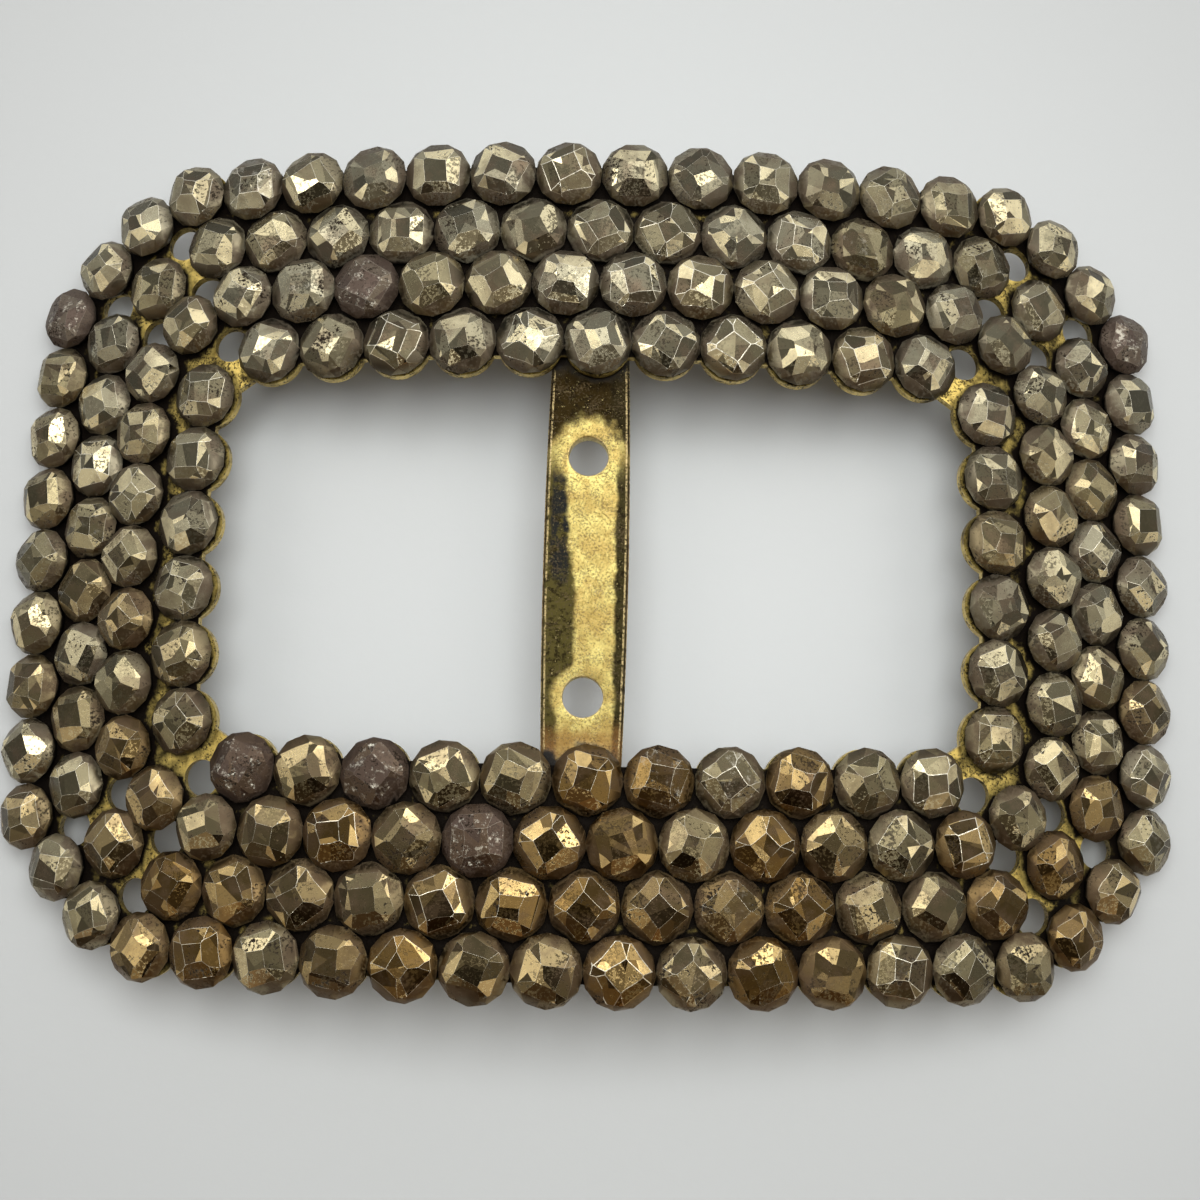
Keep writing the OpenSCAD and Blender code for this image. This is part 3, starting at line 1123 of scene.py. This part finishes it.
def bar_material():
    """Grainy gilding that belts rubbed bright, with tarnish where they didn't reach."""
    made, shader, place = new_material("rubbed gilt bar")
    metal, worn = old_worn_and_shaded(
        place, {"Pit Scale": 7.0, "Pit Amount": 0.8, "Stain Scale": 1.1, "Stain Amount": 0.55},
        {"Gaps": 0.38, "Clear": 0.7, "Black": 0.3})
    pits, grime_and_shade = metal["Pits"], worn["Grime And Shade"]
    off, across, along, from_hole = places_on_bar(place)
    bow = times(across, across, 0.33)
    far_end = spread(plus(along, bow), 7.9, 9.1)
    tarnish = tarnish_mask(across, along, from_hole, far_end)
    grain = noise(place, 6.5, detail=4.0, roughness=0.8)
    mottle = spread(noise(place, 2.4, 4.0, 0.7), 0.45, 0.62)
    dark = tarnish_tint(place, across, along, far_end, mottle)
    specks = times(spread(grain, 0.59, 0.67), mottle, 0.9)
    bevel = band(sums("ABSOLUTE", off), 2.68, 0.16, 0.10)
    near_end = spread(along, -9.6, -11.0)
    rubbed = times(worn["Rub"], spread(grain, 0.40, 0.56))
    # Its last coat paints grime and shade black where the reach is small.
    tint = coats(rubbed_gold(place, grain), (
        (metal["Stains"], 0.8, BAR_STAIN), (tarnish, minus(1.0, specks), dark),
        (bevel, 0.8, BEVEL_LINE), (near_end, 0.6, NEAR_END), (pits, 0.8, BAR_PIT),
        (rubbed, 0.7, BAR_RUBBED), (grime_and_shade, 1, GRIME_AND_SHADE)))
    haze = piled_up(BAR_HAZE, ((tarnish, 0.15), (pits, 0.2)))
    dirt_and_shade = sums("MAXIMUM", times(pits, 0.6), grime_and_shade)
    lumps = plus(times(grain, 0.6), metal["Height"])
    finish_metal(shader, tint, haze, dirt_and_shade, lumps, depth=0.04, shine=0.5)
    return made


rubbed_gilt = bar_material()
bar.data.materials.append(rubbed_gilt)
print("gilt bar:", len(rubbed_gilt.node_tree.nodes), "nodes")

# %% [markdown]
# ## What rides on what
#
# Nothing on this buckle moves, so every piece rides on the one body. Where a piece stands for
# a node of the construction, that node's own part is hidden.

# %% Tie the pieces to the frame
for piece, node, slot in (
        (inner_heads, "inner_studs", "cut_steel"), (outer_heads, "outer_studs", "cut_steel"),
        (plate, "back_plate", "gilt_plate"), (bar, "crossbar", "gilt_bar"), (ends, None, "cut_steel")):
    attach(piece, "root")
    if node:
        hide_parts(node)

# %% [markdown]
# ## The board
#
# A plain pale board with a very faint grain, wide enough that its far edge never shows.

# %% Build the floor
BOARD_PALE, BOARD_GRAIN = (0.340, 0.346, 0.350, 1), (0.315, 0.321, 0.325, 1)
BOARD_HAZE = 0.55
FLOOR_HALF = 1.5
SQUARE = ((-1, -1), (1, -1), (1, 1), (-1, 1))


def floor_material():
    """A pale board with a very faint grain."""
    made, shader, place = new_material("pale board")
    grain = noise(place, 1.2, detail=4.0, roughness=0.7)
    tint = blend(times(grain, 0.25), BOARD_PALE, BOARD_GRAIN)
    bump = feed("Bump", {"Height": grain, "Strength": 0.15, "Distance": 0.05 * MM})
    fill(shader, {"Base Color": tint, "Roughness": BOARD_HAZE, "Normal": bump.outputs[0]})
    return made


floor_mesh = bpy.data.meshes.new("floor")
floor_mesh.from_pydata([(x * FLOOR_HALF, y * FLOOR_HALF, 0) for x, y in SQUARE], [], [(0, 1, 2, 3)])
floor_mesh.materials.append(floor_material())
floor = link_piece("floor", floor_mesh)

# %% [markdown]
# ## The room
#
# Polished facets show the room, so the room matters more than the lamps. Its brightest part is
# a broad soft band from left to right, a little beyond straight up, that bows to the near side
# at both ends. It fades slowly towards the far side and quickly towards the near side, which is
# dark and brown. One colour ramp along the bar's direction, bent by the distance to the side,
# holds all of that. A dark patch on the near side of straight up stands for the camera.
#
# A ramp holds no colour above 1, so the colours go in smaller, and the strength makes up for it.

# %% The room as a sky
BOW = 0.4
SKY = [
    (-1.00, (0.11, 0.06, 0.03)), (-0.75, (0.15, 0.09, 0.05)), (-0.50, (0.26, 0.19, 0.13)),
    (-0.28, (0.45, 0.38, 0.29)), (-0.02, (0.95, 0.90, 0.81)), (0.25, (1.16, 1.13, 1.06)),
    (0.55, (1.24, 1.23, 1.20)), (0.80, (1.10, 1.11, 1.12)), (1.00, (0.82, 0.83, 0.85)),
    (1.25, (0.66, 0.67, 0.70)),
]
IN_RAMP = 0.7
CAMERA_SHADE = 0.72


def sky(strength):
    """The room: a world whose colour and strength depend on the way one looks."""
    world = bpy.data.worlds.new("room")
    bpy.context.scene.world = world
    world.use_nodes = True
    tree = world.node_tree
    way = feed("SeparateXYZ", {0: add(tree, "TexCoord").outputs["Generated"]}).outputs
    aside = sums("ABSOLUTE", way["X"])
    bowed = plus(way["Y"], times(aside, BOW))
    first, last = SKY[0][0], SKY[-1][0]
    height = sums("DIVIDE", minus(bowed, first), last - first)
    ramp = feed("ValToRGB", {0: height})
    stops = ramp.color_ramp.elements
    while len(stops) < len(SKY):
        stops.new(1.0)
    for stop, (level, colour) in zip(stops, SKY):
        stop.position = (level - first) / (last - first)
        stop.color = (*[c * IN_RAMP for c in colour], 1)
    right = plus(1.0, times(way["X"], 0.14))
    in_width, in_length = band(way["X"], 0.0, 0.27, 0.14), band(way["Y"], -0.36, 0.28, 0.10)
    patch = minus(1.0, times(in_width, in_length, CAMERA_SHADE))
    far_aside = spread(aside, 0.6, 1.0, 1.0, 0.5)
    whole = times(right, patch, far_aside, strength / IN_RAMP)
    fill(tree.nodes["Background"], {"Color": ramp.outputs[0], "Strength": whole})
    return tree


print("the room has", len(sky(0.98).nodes), "nodes")

# %% [markdown]
# ## The lamps
#
# A few lamps in the bright band give single facets their sparkle and the buckle its
# shadow. One more, over the buckle, lights the board and is not seen in the metal.

# %% Set the lamps
def lamp(name, place, size, power, colour, seen_in_metal=True):
    """A soft lamp that points at the buckle's middle."""
    light = bpy.data.lights.new(name, "AREA")
    light.shape, light.size, light.size_y = "RECTANGLE", *size
    light.energy, light.color = power, colour
    made = bpy.data.objects.new(name, light)
    made.location = place
    made.rotation_euler = (-Vector(place)).to_track_quat("-Z", "Y").to_euler()
    made.visible_glossy = seen_in_metal
    bpy.context.scene.collection.objects.link(made)
    print(name, "is", round(made.location.length, 2), "m away")


WARM_WHITE = (1.0, 0.98, 0.95)
lamp("board light", (0.003, 0.012, 0.105), (0.07, 0.07), 0.160, (0.97, 1.0, 0.99), seen_in_metal=False)
lamp("ceiling lamp", (0.06, 0.28, 0.50), (0.22, 0.12), 0.25, (1.0, 0.99, 0.97))
lamp("window left", (-0.30, 0.20, 0.42), (0.12, 0.20), 0.25, WARM_WHITE)
lamp("window right", (0.32, 0.12, 0.45), (0.14, 0.20), 0.30, WARM_WHITE)

# %% [markdown]
# ## The camera
#
# The photograph was taken from close by: the buckle's bend and the leaning outer heads show
# that the lens was about one buckle's width away, a little towards the near side.

# %% Place the camera
CAMERA_PLACE = (0.15, -13.07, 79.06)
CAMERA_TURN = (8.41, -0.464, 1.318)

lens = bpy.data.cameras.new("camera")
lens.sensor_width, lens.lens = 36.0, 36.64
lens.clip_start = 0.005
camera = bpy.data.objects.new("camera", lens)
camera.location = Vector(CAMERA_PLACE) * MM
camera.rotation_euler = [math.radians(angle) for angle in CAMERA_TURN]
bpy.context.scene.collection.objects.link(camera)
bpy.context.scene.camera = camera
bpy.context.scene.view_settings.view_transform = "Standard"
print("the lens sees", round(math.degrees(lens.angle)), "degrees")
